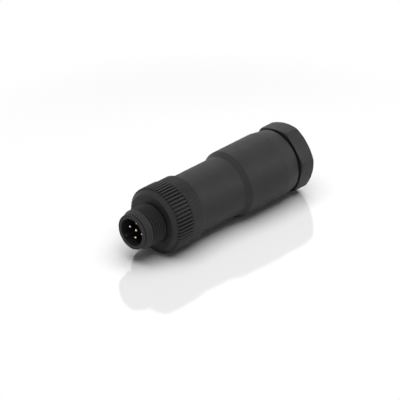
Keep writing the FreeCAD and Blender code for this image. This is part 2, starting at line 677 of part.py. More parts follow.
# Clamping cage: a ring with fingers that the gland presses onto the cable seal.
cage = turned_body("cage", [
    (SEAT_REAR, CAGE_INNER),
    (SEAT_REAR, CAGE_OUTER),
    (CAGE_END, CAGE_OUTER),
    (CAGE_END, CAGE_INNER),
])
finger_slot = start_sketch(cage, "finger_slot_section", "YZ_Plane", CAGE_END)
draw_outline(finger_slot, [
    ("-Sizes.finger_slot / 2", "0"),
    ("Sizes.finger_slot / 2", "0"),
    ("Sizes.finger_slot / 2", GLAND_BORE),
    ("-Sizes.finger_slot / 2", GLAND_BORE),
])
first_slot = cut_pocket(cage, "finger_slot_cut", finger_slot, size("finger_length"))
repeat_round(cage, "finger_slots", first_slot, size("finger_count"))
keep("clamping_cage", cage)

# Rubber bush that closes on the cable inside the cage.
cable_seal = turned_body("bush", [
    (SEAT_REAR, size("seal_bore")),
    (SEAT_REAR, SEAL_OUTER),
    (CAGE_END, SEAL_OUTER),
    (CAGE_END, size("seal_bore")),
])
keep("cable_seal", cable_seal)

# Slip washer between the turning nut and the seal, which does not turn.
washer = turned_body("washer", [
    (CAGE_END, WASHER_BORE),
    (CAGE_END, CAGE_OUTER),
    (WASHER_END, CAGE_OUTER),
    (WASHER_END, WASHER_BORE),
])
keep("thrust_washer", washer)

# Gland nut: hollow threaded spigot with a six-sided head whose sides are slightly round.
SIDE_COUNT = 6
SIDE_TURN = FULL_TURN / SIDE_COUNT
side_cylinders = []
for number in range(SIDE_COUNT):
    side = rod(f"nut_side_{number + 1}", NUT_FRONT, size("nut_length"), size("nut_curve"),
               f"({NUT_SIDE} - Sizes.nut_curve) * cos({SIDE_TURN * number} deg)")
    side.setExpression("Placement.Base.y",
                       f"(Sizes.nut_curve - {NUT_SIDE}) * sin({SIDE_TURN * number} deg)")
    side_cylinders.append(side)
nut_blank = turned_body("nut_blank", [
    (NUT_FRONT, "0"),
    (NUT_FRONT, NUT_FACE_RADIUS),
    (f"{NUT_FRONT} + Sizes.nut_bevel", NUT_BLANK_RADIUS),
    (f"{NUT_REAR} - Sizes.nut_bevel", NUT_BLANK_RADIUS),
    (NUT_REAR, NUT_FACE_RADIUS),
    (NUT_REAR, "0"),
])
nut_head = doc.addObject("Part::MultiCommon", "nut_head")
nut_head.Shapes = side_cylinders + [nut_blank]
nut_spigot = rod("nut_spigot", WASHER_END, f"{NUT_FRONT} - ({WASHER_END}) + Sizes.nut_bevel",
                 GLAND_THREAD_RADIUS)
nut_way = turned_body("nut_way", [
    (WASHER_END, "0"),
    (WASHER_END, size("nut_bore")),
    (f"{NUT_REAR} - Sizes.nut_mouth", size("nut_bore")),
    (NUT_REAR, size("nut_bore", "nut_mouth")),
    (NUT_REAR, "0"),
])
nut = cut("nut", fuse("nut_solid", nut_head, nut_spigot), nut_way)
turn_about_axis(nut, f"Sizes.nut_turn + {SIDE_TURN / 2}")
keep("gland_nut", nut)

doc.recompute()

for item in doc.Objects:
    if "Invalid" in item.State or "Error" in item.State:
        raise RuntimeError(f"{item.Label} failed: {item.State}")
for made in sub_parts:
    if made.Shape.isNull() or not made.Shape.isValid() or not made.Shape.Solids:
        raise RuntimeError(f"{made.Label} has no valid solid")

os.makedirs("parts", exist_ok=True)
for made in sub_parts:
    made.Shape.exportStep(f"parts/{made.Label}.step")
    box = made.Shape.BoundBox
    print(f"{made.Label:16s} solids {len(made.Shape.Solids)} volume {made.Shape.Volume:9.3f} "
          f"x {box.XMin:7.2f} {box.XMax:7.2f} z {box.ZMin:7.2f} {box.ZMax:7.2f}")
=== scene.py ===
import math

import bmesh
import bpy
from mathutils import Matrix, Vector


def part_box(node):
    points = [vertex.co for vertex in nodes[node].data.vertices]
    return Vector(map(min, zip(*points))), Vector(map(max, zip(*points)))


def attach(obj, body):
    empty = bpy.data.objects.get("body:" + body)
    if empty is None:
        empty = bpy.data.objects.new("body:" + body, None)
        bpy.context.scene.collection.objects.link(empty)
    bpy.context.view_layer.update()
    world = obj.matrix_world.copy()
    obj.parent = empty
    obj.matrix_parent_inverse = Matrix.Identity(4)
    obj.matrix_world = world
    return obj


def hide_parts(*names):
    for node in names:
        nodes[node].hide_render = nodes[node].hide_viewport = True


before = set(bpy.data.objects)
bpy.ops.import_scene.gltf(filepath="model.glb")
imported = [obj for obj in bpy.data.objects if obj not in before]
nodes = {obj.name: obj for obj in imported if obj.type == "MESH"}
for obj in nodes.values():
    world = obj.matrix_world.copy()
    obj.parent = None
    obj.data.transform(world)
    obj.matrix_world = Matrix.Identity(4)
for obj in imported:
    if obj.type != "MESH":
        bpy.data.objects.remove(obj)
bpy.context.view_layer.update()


# Contact carrier. One black plastic moulding: the shroud round the pins with its coding key,
# a flange for the coupling ring, the finely knurled collar and the threaded spigot for the
# housing. Sizes are millimetres, and places are counted along the axis from the ring's face.
MM = 0.001
FULL_TURN = 2 * math.pi


def span(node):
    """Where a node starts and ends along the axis, and its largest radius, in millimetres."""
    low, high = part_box(node)
    return low.x / MM, high.x / MM, high.z / MM


NOSE_FRONT, SPIGOT_END, COLLAR_RADIUS = span("contact_carrier")
CARRIER_ROUNDING = 0.06
SHROUD_BORE = 4.2
SHROUD_RADIUS = 4.87
SHROUD_MIDWALL = (SHROUD_BORE + SHROUD_RADIUS) / 2
CAVITY_FLOOR = 0.8
CORE_FRONT = 2.2
CENTRE_HOLE = 0.4
FLANGE_FRONT = 1.8
FLANGE_REAR = 4.4
FLANGE_RADIUS = 7.1
NECK_RADIUS = 5.8
COLLAR_FRONT = 7.2
COLLAR_REAR = 12.3
COLLAR_EDGE = 0.3
SPIGOT_RADIUS = 7.9
INSERT_BORE = 6.3
SEAL_GROOVE_FRONT = 12.65
SEAL_GROOVE_REAR = 13.95
SEAL_GROOVE_RADIUS = 7.0
SPIGOT_THREAD_FRONT = SEAL_GROOVE_REAR + 0.3
SPIGOT_THREAD_REAR = SPIGOT_END + 0.2
SLEEVE_THREAD_PITCH = 1.0
SLEEVE_THREAD_DEPTH = 0.4
PIN_TURN = math.radians(5.8)
KEY_TURN = PIN_TURN + math.radians(225)
KEY_WIDTH = 1.1
KEY_HEIGHT = 0.8
KEY_FRONT = NOSE_FRONT + 0.65
KEY_ROW = 0.05
ON_WALL = 0.05
KNURL_COUNT = 100
KNURL_STEPS = 6
KNURL_DEPTH = 0.18
KNURL_GAP = 0.34

ROUNDING_STEPS = 3
IN_PLANE = 1e-5
SAME_POINT = 1e-4


def outline(corners, rounding):
    """A closed outline of (place, radius) corners, each corner rounded off."""
    mesh = bmesh.new()
    points = [mesh.verts.new((place, 0, radius)) for place, radius in corners]
    for here, after in zip(points, points[1:] + points[:1]):
        mesh.edges.new((here, after))
    bmesh.ops.bevel(mesh, geom=points, offset=rounding, segments=ROUNDING_STEPS, profile=0.5,
                    affect="VERTICES", material=-1)
    return mesh


def add_rows(mesh, front, rear, step, low, high):
    """Divide the outline's edges between two radii at even places, for shapes cut in later."""
    for number in range(1, math.ceil((rear - front) / step)):
        wall = [edge for edge in mesh.edges if all(low < vert.co.z < high for vert in edge.verts)]
        ends = list({vert for edge in wall for vert in edge.verts})
        bmesh.ops.bisect_plane(mesh, geom=ends + wall, dist=IN_PLANE, plane_no=(1, 0, 0),
                               plane_co=(front + step * number, 0, 0))


def spin_outline(mesh, wedges, steps):
    """Turn an outline about the axis into one wedge, and copy the wedge round to a closed solid."""
    bmesh.ops.spin(mesh, geom=mesh.verts[:] + mesh.edges[:], cent=(0, 0, 0), axis=(1, 0, 0),
                   angle=FULL_TURN / wedges, steps=steps)
    bmesh.ops.spin(mesh, geom=mesh.verts[:] + mesh.edges[:] + mesh.faces[:], cent=(0, 0, 0),
                   axis=(1, 0, 0), angle=FULL_TURN, steps=wedges, use_duplicate=True)
    bmesh.ops.remove_doubles(mesh, verts=mesh.verts, dist=SAME_POINT)
    bmesh.ops.recalc_face_normals(mesh, faces=mesh.faces)


def radius_of(vert):
    return math.hypot(vert.co.y, vert.co.z)


def turn_of(vert):
    """The angle about the axis, from straight up towards -Y."""
    return math.atan2(-vert.co.y, vert.co.z)


def set_radius(vert, radius):
    stretch = radius / radius_of(vert)
    vert.co.y *= stretch
    vert.co.z *= stretch


def off_mark(turn, count, start):
    """The signed angle to the nearest of count marks spread evenly from start."""
    step = FULL_TURN / count
    return (turn - start + step / 2) % step - step / 2


GROOVE_FLAT = 0.5


def cut_grooves(mesh, front, rear, radius, depth, gap, count, start):
    """Grooves along the axis, with slanted sides, whose flat bottom is a share of their width."""
    for vert in mesh.verts:
        if not front <= vert.co.x <= rear or radius_of(vert) <= radius - depth:
            continue
        aside = abs(off_mark(turn_of(vert), count, start)) * radius
        inward = (1 - 2 * aside / gap) / (1 - GROOVE_FLAT)
        set_radius(vert, min(radius - depth * min(1, inward), radius_of(vert)))


# A thread's groove is a V of 60 degrees. Its half width and its fading ends are in pitches.
ROWS_PER_PITCH = 13
FLANK_SLOPE = math.sqrt(3)
THREAD_HALF_WIDTH = 0.42
THREAD_FADE = 0.5
THREAD_REACH = 0.1


def cut_thread(mesh, front, rear, crest, depth, pitch, start=0):
    """A right-hand thread in the wall at the crest radius, which fades out at both ends.

    A negative depth cuts it outwards, as in a nut.
    """
    for vert in mesh.verts:
        room = min(vert.co.x - front, rear - vert.co.x) / pitch
        if room <= 0 or abs(radius_of(vert) - crest) > abs(depth) + THREAD_REACH:
            continue
        along = (vert.co.x - start) / pitch - turn_of(vert) / FULL_TURN
        aside = abs((along + 0.5) % 1 - 0.5)
        cut = max(0, (THREAD_HALF_WIDTH - aside) * pitch * FLANK_SLOPE)
        cut = min(cut, abs(depth)) * min(1, room / THREAD_FADE)
        if depth > 0:
            set_radius(vert, min(radius_of(vert), crest - cut))
        else:
            set_radius(vert, max(radius_of(vert), crest + cut))


SHARP_ANGLE = math.radians(32)


def finish_piece(mesh, name, body, finish, slot, *stands_for):
    """Scale a mesh from millimetres, smooth it, give it its finish and set it on its body."""
    bmesh.ops.scale(mesh, vec=(MM, MM, MM), verts=mesh.verts)
    data = bpy.data.meshes.new(name)
    mesh.to_mesh(data)
    mesh.free()
    data.shade_smooth()
    data.set_sharp_from_angle(angle=SHARP_ANGLE)
    data.materials.append(finish)
    piece = bpy.data.objects.new(name, data)
    bpy.context.scene.collection.objects.link(piece)
    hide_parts(*stands_for)
    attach(piece, body)


def shader_group(name, *amounts):
    """A node group that is given a colour and some amounts, and its input node."""
    group = bpy.data.node_groups.new(name, "ShaderNodeTree")
    group.interface.new_socket(name="Colour", in_out="INPUT", socket_type="NodeSocketColor")
    for label in amounts:
        group.interface.new_socket(name=label, in_out="INPUT", socket_type="NodeSocketFloat")
    return group, group.nodes.new("NodeGroupInput")


def noise_on(group, detail, scale=1, stretch=(1, 1, 1), distortion=0):
    """A noise pattern fixed to the piece, stretched along its own axes."""
    place = group.nodes.new("ShaderNodeTexCoord")
    mapping = group.nodes.new("ShaderNodeMapping")
    mapping.inputs["Scale"].default_value = stretch
    group.links.new(place.outputs["Object"], mapping.inputs["Vector"])
    noise = group.nodes.new("ShaderNodeTexNoise")
    noise.inputs["Scale"].default_value = scale
    noise.inputs["Detail"].default_value = detail
    noise.inputs["Distortion"].default_value = distortion
    group.links.new(mapping.outputs["Vector"], noise.inputs["Vector"])
    return noise


# Nearly all of a noise pattern's values lie between these two.
NOISE_LOW = 0.3
NOISE_HIGH = 0.7


def tinted(group, colour, noise, darkest, lightest):
    """The colour made a little darker and lighter by a noise pattern."""
    shade = group.nodes.new("ShaderNodeMapRange")
    shade.inputs["From Min"].default_value = NOISE_LOW
    shade.inputs["From Max"].default_value = NOISE_HIGH
    shade.inputs["To Min"].default_value = darkest
    shade.inputs["To Max"].default_value = lightest
    group.links.new(noise.outputs["Fac"], shade.inputs["Value"])
    tint = group.nodes.new("ShaderNodeVectorMath")
    tint.operation = "SCALE"
    group.links.new(colour, tint.inputs[0])
    group.links.new(shade.outputs["Result"], tint.inputs["Scale"])
    return tint.outputs["Vector"]


def roughened(group, roughness, noise, amount):
    """The roughness raised in places by a noise pattern."""
    rough = group.nodes.new("ShaderNodeMath")
    rough.operation = "MULTIPLY_ADD"
    rough.inputs[1].default_value = amount
    group.links.new(noise.outputs["Fac"], rough.inputs[0])
    group.links.new(roughness, rough.inputs[2])
    return rough.outputs["Value"]


def relief(group, noise, strength, height):
    """A normal that stands the noise pattern out from the surface by a height in metres."""
    bump = group.nodes.new("ShaderNodeBump")
    bump.inputs["Distance"].default_value = height
    group.links.new(strength, bump.inputs["Strength"])
    group.links.new(noise.outputs["Fac"], bump.inputs["Height"])
    return bump.outputs["Normal"]


def put_out(group, colour, roughness, normal):
    """Lead a group's colour, roughness and normal to its outputs."""
    result = group.nodes.new("NodeGroupOutput")
    for label, kind, value in (("Colour", "NodeSocketColor", colour),
                               ("Roughness", "NodeSocketFloat", roughness),
                               ("Normal", "NodeSocketVector", normal)):
        group.interface.new_socket(name=label, in_out="OUTPUT", socket_type=kind)
        group.links.new(value, result.inputs[label])


def moulded_surface_group():
    """Moulded plastic or rubber: the mould's fine grain, faint flow marks and rubbed patches."""
    group, given = shader_group("moulded surface", "Roughness", "Grain Size", "Grain Depth")
    grain = noise_on(group, detail=3)
    group.links.new(given.outputs["Grain Size"], grain.inputs["Scale"])
    flow = noise_on(group, detail=4, scale=140, stretch=(0.35, 1, 1), distortion=0.6)
    rubbed = noise_on(group, detail=5, scale=420)
    put_out(group,
            tinted(group, given.outputs["Colour"], flow, darkest=0.88, lightest=1.12),
            roughened(group, given.outputs["Roughness"], rubbed, amount=0.14),
            relief(group, grain, given.outputs["Grain Depth"], height=0.04 * MM))
    return group


MOULDED_SURFACE = moulded_surface_group()


def surface_material(name, group, values, specular=0.5, metallic=0.0):
    """A material that takes its colour, roughness and relief from a group."""
    material = bpy.data.materials.new(name)
    material.use_nodes = True
    tree = material.node_tree
    shader = tree.nodes["Principled BSDF"]
    shader.inputs["Metallic"].default_value = metallic
    shader.inputs["Specular IOR Level"].default_value = specular
    look = tree.nodes.new("ShaderNodeGroup")
    look.node_tree = group
    for label, value in values.items():
        look.inputs[label].default_value = value
    tree.links.new(look.outputs["Colour"], shader.inputs["Base Color"])
    tree.links.new(look.outputs["Roughness"], shader.inputs["Roughness"])
    tree.links.new(look.outputs["Normal"], shader.inputs["Normal"])
    return material


black_plastic = surface_material("black moulded plastic", MOULDED_SURFACE, {
    "Colour": (0.0154, 0.0139, 0.0142, 1),
    "Roughness": 0.5,
    "Grain Size": 4200,
    "Grain Depth": 0.3,
}, specular=0.36)

carrier = outline([
    (CAVITY_FLOOR, CENTRE_HOLE), (CAVITY_FLOOR, SHROUD_BORE), (NOSE_FRONT, SHROUD_BORE),
    (NOSE_FRONT, SHROUD_RADIUS), (FLANGE_FRONT, SHROUD_RADIUS), (FLANGE_FRONT, FLANGE_RADIUS),
    (FLANGE_REAR, FLANGE_RADIUS), (FLANGE_REAR, NECK_RADIUS), (COLLAR_FRONT, NECK_RADIUS),
    (COLLAR_FRONT, COLLAR_RADIUS - COLLAR_EDGE), (COLLAR_FRONT + COLLAR_EDGE, COLLAR_RADIUS),
    (COLLAR_REAR - COLLAR_EDGE, COLLAR_RADIUS), (COLLAR_REAR, COLLAR_RADIUS - COLLAR_EDGE),
    (COLLAR_REAR, SPIGOT_RADIUS), (SEAL_GROOVE_FRONT, SPIGOT_RADIUS),
    (SEAL_GROOVE_FRONT, SEAL_GROOVE_RADIUS), (SEAL_GROOVE_REAR, SEAL_GROOVE_RADIUS),
    (SEAL_GROOVE_REAR, SPIGOT_RADIUS), (SPIGOT_END, SPIGOT_RADIUS), (SPIGOT_END, INSERT_BORE),
    (COLLAR_REAR, INSERT_BORE), (COLLAR_REAR, SHROUD_BORE), (CORE_FRONT, SHROUD_BORE),
    (CORE_FRONT, CENTRE_HOLE),
], CARRIER_ROUNDING)
add_rows(carrier, KEY_FRONT - KEY_ROW, KEY_FRONT + 2 * KEY_ROW, KEY_ROW, 0, SHROUD_MIDWALL)
add_rows(carrier, SEAL_GROOVE_REAR, SPIGOT_END, SLEEVE_THREAD_PITCH / ROWS_PER_PITCH,
         SEAL_GROOVE_RADIUS, COLLAR_RADIUS)
spin_outline(carrier, KNURL_COUNT, KNURL_STEPS)
cut_grooves(carrier, COLLAR_FRONT, COLLAR_REAR, COLLAR_RADIUS, KNURL_DEPTH, KNURL_GAP,
            KNURL_COUNT, PIN_TURN)
cut_thread(carrier, SPIGOT_THREAD_FRONT, SPIGOT_THREAD_REAR, SPIGOT_RADIUS,
           SLEEVE_THREAD_DEPTH, SLEEVE_THREAD_PITCH)
for vert in carrier.verts:
    across = abs(off_mark(turn_of(vert), 1, KEY_TURN)) * SHROUD_BORE
    on_wall = abs(radius_of(vert) - SHROUD_BORE) < ON_WALL and vert.co.x < CAVITY_FLOOR
    if on_wall and vert.co.x > KEY_FRONT + KEY_ROW / 2 and across < KEY_WIDTH / 2:
        set_radius(vert, SHROUD_BORE - KEY_HEIGHT)
finish_piece(carrier, "carrier_moulding", "carrier", black_plastic, "black_plastic",
             "contact_carrier")


# Contacts. Five turned brass pins with a domed tip and a thin gold plating, each in one piece
# with the clamp that holds its wire. They are pressed through the floor of the shroud, and small
# slotted screws, zinc plated, close the clamps.
OUTER_PINS = 4
PIN_CIRCLE = 2.5
PIN_FRONT = span("pin_5")[0]
PIN_REAR = CAVITY_FLOOR + 0.5
PIN_RADIUS = 0.5
PIN_WEDGES = 5
PIN_STEPS = 8
DOME_LENGTH = 0.42
DOME_STEPS = 7
CLAMP_CUT = CAVITY_FLOOR + 0.1
CLAMP_SAME_POINT = 1e-3
# Painted highlight: the pins' very ends are coloured near white. Painted shade: the rest of the
# gold is darkened.
TIP_HIGHLIGHT_START = PIN_FRONT + 0.02
TIP_HIGHLIGHT_END = PIN_FRONT + 0.08
PAINTED_HIGHLIGHT_GOLD = (0.93, 0.88, 0.78, 1)
PAINTED_SHADE_GOLD = (0.36, 0.26, 0.12, 1)


def turned_metal_group():
    """Turned and plated metal: fine marks round the piece and faintly uneven plating."""
    group, given = shader_group("turned metal", "Roughness", "Mark Depth")
    marks = noise_on(group, detail=2, stretch=(9000, 600, 600))
    plating = noise_on(group, detail=2, scale=900)
    put_out(group,
            tinted(group, given.outputs["Colour"], plating, darkest=0.86, lightest=1.06),
            roughened(group, given.outputs["Roughness"], marks, amount=0.12),
            relief(group, marks, given.outputs["Mark Depth"], height=0.01 * MM))
    return group


TURNED_METAL = turned_metal_group()
gold = surface_material("gold plating", TURNED_METAL, {
    "Roughness": 0.16,
    "Mark Depth": 0.3,
}, metallic=1.0)
zinc = surface_material("zinc plating", TURNED_METAL, {
    "Colour": (0.62, 0.64, 0.67, 1),
    "Roughness": 0.28,
    "Mark Depth": 0.3,
}, metallic=1.0)


def paint_tip_highlight_and_shade(material):
    """Paint a near white highlight on the very ends of the pins, and darken the rest of the plating
    as painted shade.
    """
    tree = material.node_tree
    place = tree.nodes.new("ShaderNodeTexCoord")
    along = tree.nodes.new("ShaderNodeSeparateXYZ")
    tree.links.new(place.outputs["Object"], along.inputs["Vector"])
    behind = tree.nodes.new("ShaderNodeMapRange")
    behind.inputs["From Min"].default_value = TIP_HIGHLIGHT_START * MM
    behind.inputs["From Max"].default_value = TIP_HIGHLIGHT_END * MM
    tree.links.new(along.outputs["X"], behind.inputs["Value"])
    mix = tree.nodes.new("ShaderNodeMix")
    mix.data_type = "RGBA"
    mix.inputs["A"].default_value = PAINTED_HIGHLIGHT_GOLD
    mix.inputs["B"].default_value = PAINTED_SHADE_GOLD
    tree.links.new(behind.outputs["Result"], mix.inputs["Factor"])
    look = tree.nodes["Group"]
    tree.links.new(mix.outputs["Result"], look.inputs["Colour"])


# The pins' tip highlight and the shade on their shafts are painted into the gold's colour.
paint_tip_highlight_and_shade(gold)


def turned_pin():
    """A round pin on the axis, with a domed front end."""
    mesh = bmesh.new()
    corners = ((PIN_FRONT, 0), (PIN_FRONT, PIN_RADIUS), (PIN_REAR, PIN_RADIUS), (PIN_REAR, 0))
    points = [mesh.verts.new((place, 0, radius)) for place, radius in corners]
    for here, after in zip(points, points[1:]):
        mesh.edges.new((here, after))
    bmesh.ops.bevel(mesh, geom=[points[1]], offset=DOME_LENGTH, segments=DOME_STEPS, profile=0.5,
                    affect="VERTICES", material=-1)
    spin_outline(mesh, PIN_WEDGES, PIN_STEPS)
    return mesh


def clamp_of(node):
    """A copy of a contact of the frame without its pin, closed where the pin is cut off."""
    mesh = bmesh.new()
    mesh.from_mesh(nodes[node].data)
    bmesh.ops.scale(mesh, vec=(1 / MM, 1 / MM, 1 / MM), verts=mesh.verts)
    bmesh.ops.remove_doubles(mesh, verts=mesh.verts, dist=CLAMP_SAME_POINT)
    bmesh.ops.bisect_plane(mesh, geom=mesh.verts[:] + mesh.edges[:] + mesh.faces[:],
                           dist=IN_PLANE, plane_co=(CLAMP_CUT, 0, 0), plane_no=(1, 0, 0),
                           clear_inner=True)
    rim = [edge for edge in mesh.edges if edge.is_boundary]
    bmesh.ops.holes_fill(mesh, edges=rim)
    return mesh


def add_mesh(mesh, other):
    """Add another bmesh's solids to a mesh."""
    carried = bpy.data.meshes.new("carried")
    other.to_mesh(carried)
    other.free()
    mesh.from_mesh(carried)
    bpy.data.meshes.remove(carried)


def finish_node(name, finish):
    """Give a node of the frame, which shows as it is, its finish."""
    data = nodes[name].data
    data.materials.clear()
    data.materials.append(finish)


for number in range(OUTER_PINS + 1):
    circle = PIN_CIRCLE if number < OUTER_PINS else 0
    turn = PIN_TURN + FULL_TURN * number / OUTER_PINS
    pin = turned_pin()
    bmesh.ops.translate(pin, verts=pin.verts,
                        vec=(0, -circle * math.sin(turn), circle * math.cos(turn)))
    contact = clamp_of(f"pin_{number + 1}")
    add_mesh(contact, pin)
    finish_piece(contact, f"contact_{number + 1}", "carrier", gold, "gold_contact",
                 f"pin_{number + 1}")
    finish_node(f"clamp_screw_{number + 1}", zinc)


# Contact insert. A moulding in black plastic that fills the carrier behind its floor. It is
# pushed in from the rear and keeps the five contacts apart, with a pocket for each clamp.
insert_plastic = surface_material("insert plastic", MOULDED_SURFACE, {
    "Colour": (0.016, 0.016, 0.017, 1),
    "Roughness": 0.45,
    "Grain Size": 3000,
    "Grain Depth": 0.25,
}, specular=0.3)
finish_node("contact_insert", insert_plastic)


# Seals. Two soft black rubber pieces: the ring that sits in the spigot's groove under the
# housing, and the bush that the gland squeezes onto the cable.
rubber = surface_material("seal rubber", MOULDED_SURFACE, {
    "Colour": (0.02, 0.02, 0.02, 1),
    "Roughness": 0.62,
    "Grain Size": 1800,
    "Grain Depth": 0.4,
}, specular=0.35)
finish_node("housing_seal", rubber)
finish_node("cable_seal", rubber)


# Snap ring. A split ring of bright spring steel that holds the coupling ring on the carrier.
# It is pressed into the coupling ring's groove behind the carrier's flange.
spring_steel = surface_material("spring steel", TURNED_METAL, {
    "Colour": (0.5, 0.5, 0.52, 1),
    "Roughness": 0.25,
    "Mark Depth": 0.4,
}, metallic=1.0)
finish_node("snap_ring", spring_steel)


# Coupling ring. One black plastic moulding with an M12 x 1 thread round its nose and a coarse
# ribbed grip behind it. It is pushed over the shroud and spins freely between flange and collar.
GRIP_REAR = span("coupling_ring")[1]
GRIP_RADIUS = span("coupling_ring")[2]
RING_ROUNDING = 0.03
RING_BORE = 4.95
EDGE_DROP = 0.1
PILOT_RADIUS = 5.34
SEAM_FRONT = NOSE_FRONT + 0.36
SEAM_REAR = NOSE_FRONT + 0.72
SEAM_RADIUS = PILOT_RADIUS - 0.32
THREAD_START = -5.8
THREAD_RADIUS = 6.0
THREAD_PITCH = 1.0
THREAD_DEPTH = 0.68
THREAD_PLACE = -0.09
THREAD_FRONT = THREAD_START + 0.1
THREAD_REAR = 0.6
RELIEF_DEPTH = 0.8
RELIEF_RADIUS = 6.65
UNDERCUT_RADIUS = 5.6
FACE_RADIUS = 8.5
BEVEL_LENGTH = 1.1
BEVEL_RADIUS = 9.33
SHOULDER_REAR = 1.5
GRIP_EDGE = 0.15
COUNTERBORE_RADIUS = 7.4
SNAP_GROOVE_FRONT = 5.1
SNAP_GROOVE_REAR = 6.1
SNAP_GROOVE_RADIUS = 7.9
RING_WALL = 1.6
RIB_COUNT = 56
RIB_STEPS = 8
RIB_DEPTH = 0.7
RIB_GAP = 0.66
RIB_START = 1.12
RIB_TURN = math.radians(1.9)
RIB_ROW = 0.04

ring = outline([
    (NOSE_FRONT, RING_BORE), (NOSE_FRONT, PILOT_RADIUS - EDGE_DROP),
    (NOSE_FRONT + EDGE_DROP, PILOT_RADIUS), (SEAM_FRONT, PILOT_RADIUS),
    (SEAM_FRONT, SEAM_RADIUS), (SEAM_REAR, SEAM_RADIUS), (SEAM_REAR, PILOT_RADIUS),
    (THREAD_START, THREAD_RADIUS), (0, THREAD_RADIUS), (0, UNDERCUT_RADIUS),
    (RELIEF_DEPTH, UNDERCUT_RADIUS), (RELIEF_DEPTH, RELIEF_RADIUS), (0, RELIEF_RADIUS),
    (0, FACE_RADIUS), (BEVEL_LENGTH, BEVEL_RADIUS), (SHOULDER_REAR, GRIP_RADIUS),
    (GRIP_REAR - GRIP_EDGE, GRIP_RADIUS), (GRIP_REAR, GRIP_RADIUS - GRIP_EDGE),
    (GRIP_REAR, COUNTERBORE_RADIUS), (SNAP_GROOVE_REAR, COUNTERBORE_RADIUS),
    (SNAP_GROOVE_REAR, SNAP_GROOVE_RADIUS), (SNAP_GROOVE_FRONT, SNAP_GROOVE_RADIUS),
    (SNAP_GROOVE_FRONT, COUNTERBORE_RADIUS), (RING_WALL, COUNTERBORE_RADIUS),
    (RING_WALL, RING_BORE),
], RING_ROUNDING)
add_rows(ring, SEAM_REAR, THREAD_REAR, THREAD_PITCH / ROWS_PER_PITCH, SEAM_RADIUS, RELIEF_RADIUS)
add_rows(ring, RIB_START - RIB_ROW, RIB_START + 2 * RIB_ROW, RIB_ROW, FACE_RADIUS, math.inf)
spin_outline(ring, RIB_COUNT, RIB_STEPS)
cut_grooves(ring, RIB_START + RIB_ROW / 2, GRIP_REAR, GRIP_RADIUS, RIB_DEPTH, RIB_GAP,
            RIB_COUNT, RIB_TURN)
cut_thread(ring, THREAD_FRONT, THREAD_REAR, THREAD_RADIUS, THREAD_DEPTH, THREAD_PITCH,
           THREAD_PLACE)
finish_piece(ring, "coupling_ring_moulding", "coupling", black_plastic, "black_plastic",
             "coupling_ring")


# Housing sleeve. One black plastic moulding that screws onto the carrier: a plain barrel, a
# short cone and a wider barrel that tapers towards the gland. It is threaded at both ends inside.
HOUSING_END = span("housing_sleeve")[1]
BODY_RADIUS = span("housing_sleeve")[2]
HOUSING_ROUNDING = 0.12
HOUSING_WEDGES = 32
HOUSING_STEPS = 8
BARREL_RADIUS = 9.0
BARREL_END = 29.0
CONE_END = 30.8
REAR_END = 45.4
END_RADIUS = 9.4
END_EDGE = 0.25
LAND_RADIUS = 8.3
LAND_END = 14.45
THREAD_MARGIN = 0.1
HOUSING_THREAD_RADIUS = 7.98
HOUSING_THREAD_END = 18.6
CHAMBER_RADIUS = 7.5
SEAT_FRONT = 35.8
SEAT_REAR = 37.3
SEAT_OPENING = 5.6
GLAND_BORE = 8.1
GLAND_THREAD_FRONT = 44.5
GLAND_THREAD_PITCH = 1.5
GLAND_THREAD_DEPTH = 0.5

housing = outline([
    (COLLAR_REAR, LAND_RADIUS), (COLLAR_REAR, BARREL_RADIUS - END_EDGE),
    (COLLAR_REAR + END_EDGE, BARREL_RADIUS), (BARREL_END, BARREL_RADIUS),
    (CONE_END, BODY_RADIUS), (REAR_END, BODY_RADIUS), (HOUSING_END - END_EDGE, END_RADIUS),
    (HOUSING_END, END_RADIUS - END_EDGE), (HOUSING_END, GLAND_BORE), (SEAT_REAR, GLAND_BORE),
    (SEAT_REAR, SEAT_OPENING), (SEAT_FRONT, SEAT_OPENING), (SEAT_FRONT, CHAMBER_RADIUS),
    (HOUSING_THREAD_END, CHAMBER_RADIUS), (HOUSING_THREAD_END, HOUSING_THREAD_RADIUS),
    (LAND_END, HOUSING_THREAD_RADIUS), (LAND_END, LAND_RADIUS),
], HOUSING_ROUNDING)
add_rows(housing, LAND_END, HOUSING_THREAD_END, SLEEVE_THREAD_PITCH / ROWS_PER_PITCH,
         CHAMBER_RADIUS, LAND_RADIUS)
add_rows(housing, GLAND_THREAD_FRONT, HOUSING_END, GLAND_THREAD_PITCH / ROWS_PER_PITCH,
         CHAMBER_RADIUS, LAND_RADIUS)
spin_outline(housing, HOUSING_WEDGES, HOUSING_STEPS)
cut_thread(housing, LAND_END + THREAD_MARGIN, HOUSING_THREAD_END - THREAD_MARGIN,
           HOUSING_THREAD_RADIUS, -SLEEVE_THREAD_DEPTH, SLEEVE_THREAD_PITCH)
cut_thread(housing, GLAND_THREAD_FRONT, HOUSING_END - END_EDGE, GLAND_BORE,
           -GLAND_THREAD_DEPTH, GLAND_THREAD_PITCH)
finish_piece(housing, "housing_moulding", "housing", black_plastic, "black_plastic",
             "housing_sleeve")


# Cable gland. Inside the sleeve a slotted cage and a slip washer squeeze the seal; behind them
# the six-sided nut, moulded with slightly round sides, screws into the sleeve.
cage_plastic = surface_material("cage plastic", MOULDED_SURFACE, {
    "Colour": (0.05, 0.05, 0.05, 1),
    "Roughness": 0.42,
    "Grain Size": 3000,
    "Grain Depth": 0.2,
}, specular=0.4)
finish_node("clamping_cage", cage_plastic)
finish_node("thrust_washer", cage_plastic)

